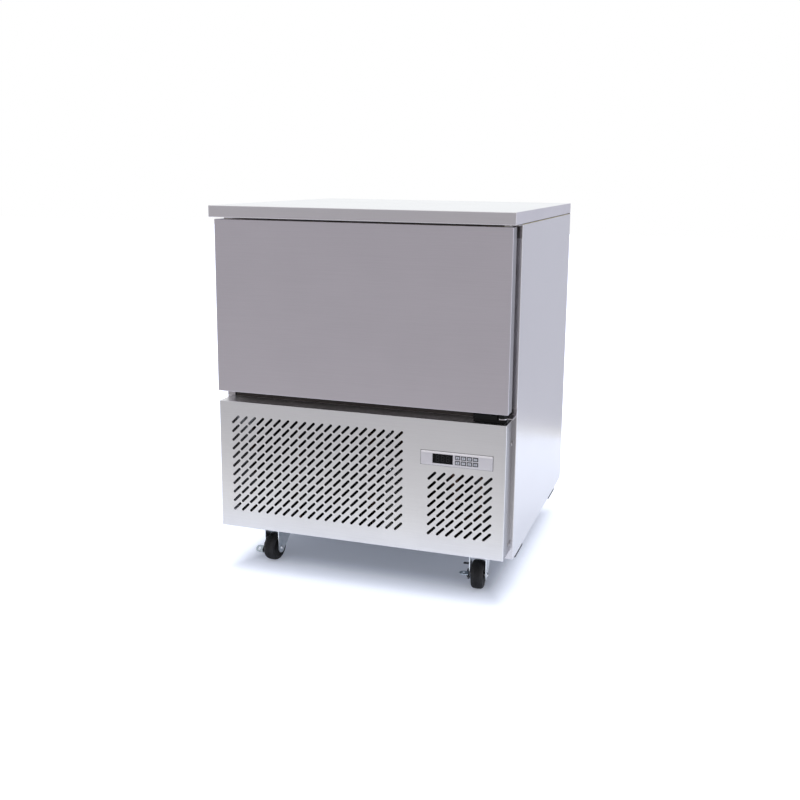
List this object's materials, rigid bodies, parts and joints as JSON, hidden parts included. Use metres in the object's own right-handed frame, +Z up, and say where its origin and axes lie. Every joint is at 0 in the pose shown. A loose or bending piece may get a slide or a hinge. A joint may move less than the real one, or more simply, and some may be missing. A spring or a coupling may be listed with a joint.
{
  "type": "blast chiller",
  "caption": "Undercounter blast chiller on castors: satin steel cabinet with a swing door over a slotted machine panel, tray racks, fans and a condensing unit inside.",
  "frame": {"origin": "on the floor, under the centre of the worktop", "axes": "+Z up, -Y out of the front where the door and the slotted panel are, +X to the right seen from the front"},
  "size_m": [0.8, 0.8, 0.984],
  "materials": {
    "satin_stainless": "satin, fine grain",
    "door_stainless": "satin, fine grain",
    "inner_stainless": "satin",
    "galvanised_steel": "zinc coated, dull",
    "zinc_plated_steel": "bright zinc plate",
    "black_rubber": "matt",
    "black_moulding": "matt, fine grain",
    "grey_moulding": "fine grain",
    "key_plastic": "satin",
    "display_lens": "dark tinted, gloss",
    "insulating_foam": "rigid foam, closed cells",
    "copper_pipe": "drawn copper",
    "aluminium_fins": "mill finish",
    "black_enamel": "baked black enamel",
    "white_nylon": "moulded",
    "grey_switch_box": "powder coated",
    "grey_fan_plastic": "glass filled"
  },
  "bodies": {
    "cabinet": {"worktop": "satin_stainless", "left_side_panel": "satin_stainless", "right_side_panel": "satin_stainless", "back_panel": "galvanised_steel", "insulation_foam": "insulating_foam", "chamber_liner": "inner_stainless", "front_frame": "inner_stainless", "base_pan": "galvanised_steel", "castor_pads": "black_rubber", "slotted_front_panel": "satin_stainless", "panel_screws": "zinc_plated_steel", "controller_case": "grey_moulding", "display_window": "display_lens", "upper_hinge_bracket": "zinc_plated_steel", "lower_hinge_bracket": "zinc_plated_steel", "lower_hinge_cover": "black_moulding", "tray_rack_posts": "inner_stainless", "tray_runners_left": "inner_stainless", "tray_runners_right": "inner_stainless", "evaporator_coil": "aluminium_fins", "evaporator_fan_panel": "inner_stainless", "evaporator_fan_guard": "zinc_plated_steel", "evaporator_fan_motor": "black_enamel", "drip_tray": "inner_stainless", "cable_glands": "black_moulding", "compressor": "black_enamel", "compressor_feet": "black_rubber", "condenser_coil": "aluminium_fins", "condenser_shroud": "galvanised_steel", "condenser_fan_motor": "black_enamel", "liquid_receiver": "black_enamel", "filter_drier": "copper_pipe", "refrigerant_pipes": "copper_pipe", "electrical_box": "grey_switch_box", "castor_plates": "zinc_plated_steel"},
    "door": {"door_outer_pan": "door_stainless", "door_inner_panel": "inner_stainless", "door_foam": "insulating_foam", "door_gasket": "black_rubber", "door_bushes": "white_nylon"},
    "evaporator_fan_rotor": {"evaporator_fan": "grey_fan_plastic"},
    "condenser_fan_rotor": {"condenser_fan": "grey_fan_plastic"},
    "key_1": {"button_1": "key_plastic"},
    "key_2": {"button_2": "key_plastic"},
    "key_3": {"button_3": "key_plastic"},
    "key_4": {"button_4": "key_plastic"},
    "key_5": {"button_5": "key_plastic"},
    "key_6": {"button_6": "key_plastic"},
    "key_7": {"button_7": "key_plastic"},
    "key_8": {"button_8": "key_plastic"},
    "castor_front_left": {"castor_fork_front_left": "zinc_plated_steel"},
    "wheel_front_left": {"castor_wheel_front_left": "black_rubber"},
    "pedal_front_left": {"brake_pedal_front_left": "zinc_plated_steel"},
    "castor_front_right": {"castor_fork_front_right": "zinc_plated_steel"},
    "wheel_front_right": {"castor_wheel_front_right": "black_rubber"},
    "pedal_front_right": {"brake_pedal_front_right": "zinc_plated_steel"},
    "castor_rear_left": {"castor_fork_rear_left": "zinc_plated_steel"},
    "wheel_rear_left": {"castor_wheel_rear_left": "black_rubber"},
    "castor_rear_right": {"castor_fork_rear_right": "zinc_plated_steel"},
    "wheel_rear_right": {"castor_wheel_rear_right": "black_rubber"}
  },
  "joints": [
    {"name": "door_swing", "type": "hinge", "parent": "cabinet", "child": "door", "pos_m": [0.3735, -0.366, 0.7235], "axis": [0, 0, 1], "range_deg": [0, 110]},
    {"name": "evaporator_fan_spin", "type": "hinge", "parent": "cabinet", "child": "evaporator_fan_rotor", "pos_m": [0, 0.102, 0.721], "axis": [0, 1, 0], "continuous": true},
    {"name": "condenser_fan_spin", "type": "hinge", "parent": "cabinet", "child": "condenser_fan_rotor", "pos_m": [-0.17, -0.2007, 0.2598], "axis": [0, 1, 0], "continuous": true},
    {"name": "key_1_press", "type": "slide", "parent": "cabinet", "child": "key_1", "axis": [0, 1, 0], "range_m": [0, 0.0008], "stiffness_N_per_m": 1500},
    {"name": "key_2_press", "type": "slide", "parent": "cabinet", "child": "key_2", "axis": [0, 1, 0], "range_m": [0, 0.0008], "stiffness_N_per_m": 1500},
    {"name": "key_3_press", "type": "slide", "parent": "cabinet", "child": "key_3", "axis": [0, 1, 0], "range_m": [0, 0.0008], "stiffness_N_per_m": 1500},
    {"name": "key_4_press", "type": "slide", "parent": "cabinet", "child": "key_4", "axis": [0, 1, 0], "range_m": [0, 0.0008], "stiffness_N_per_m": 1500},
    {"name": "key_5_press", "type": "slide", "parent": "cabinet", "child": "key_5", "axis": [0, 1, 0], "range_m": [0, 0.0008], "stiffness_N_per_m": 1500},
    {"name": "key_6_press", "type": "slide", "parent": "cabinet", "child": "key_6", "axis": [0, 1, 0], "range_m": [0, 0.0008], "stiffness_N_per_m": 1500},
    {"name": "key_7_press", "type": "slide", "parent": "cabinet", "child": "key_7", "axis": [0, 1, 0], "range_m": [0, 0.0008], "stiffness_N_per_m": 1500},
    {"name": "key_8_press", "type": "slide", "parent": "cabinet", "child": "key_8", "axis": [0, 1, 0], "range_m": [0, 0.0008], "stiffness_N_per_m": 1500},
    {"name": "castor_front_left_swivel", "type": "hinge", "parent": "cabinet", "child": "castor_front_left", "pos_m": [-0.281, -0.242, 0.095], "axis": [0, 0, 1], "continuous": true},
    {"name": "wheel_front_left_roll", "type": "hinge", "parent": "castor_front_left", "child": "wheel_front_left", "pos_m": [-0.28563, -0.27972, 0.038], "axis": [0.9925, -0.1219, 0], "continuous": true},
    {"name": "brake_pedal_front_left_press", "type": "hinge", "parent": "castor_front_left", "child": "pedal_front_left", "pos_m": [-0.28563, -0.27972, 0.038], "axis": [0.9925, -0.1219, 0], "range_deg": [0, 20]},
    {"name": "castor_front_right_swivel", "type": "hinge", "parent": "cabinet", "child": "castor_front_right", "pos_m": [0.299, -0.242, 0.095], "axis": [0, 0, 1], "continuous": true},
    {"name": "wheel_front_right_roll", "type": "hinge", "parent": "castor_front_right", "child": "wheel_front_right", "pos_m": [0.30198, -0.27988, 0.038], "axis": [0.9969, 0.0785, 0], "continuous": true},
    {"name": "brake_pedal_front_right_press", "type": "hinge", "parent": "castor_front_right", "child": "pedal_front_right", "pos_m": [0.30198, -0.27988, 0.038], "axis": [0.9969, 0.0785, 0], "range_deg": [0, 20]},
    {"name": "castor_rear_left_swivel", "type": "hinge", "parent": "cabinet", "child": "castor_rear_left", "pos_m": [-0.281, 0.242, 0.095], "axis": [0, 0, 1], "continuous": true},
    {"name": "wheel_rear_left_roll", "type": "hinge", "parent": "castor_rear_left", "child": "wheel_rear_left", "pos_m": [-0.2744, 0.20458, 0.038], "axis": [0.9848, 0.1736, 0], "continuous": true},
    {"name": "castor_rear_right_swivel", "type": "hinge", "parent": "cabinet", "child": "castor_rear_right", "pos_m": [0.299, 0.242, 0.095], "axis": [0, 0, 1], "continuous": true},
    {"name": "wheel_rear_right_roll", "type": "hinge", "parent": "castor_rear_right", "child": "wheel_rear_right", "pos_m": [0.29569, 0.20414, 0.038], "axis": [0.9962, -0.0872, 0], "continuous": true}
  ]
}
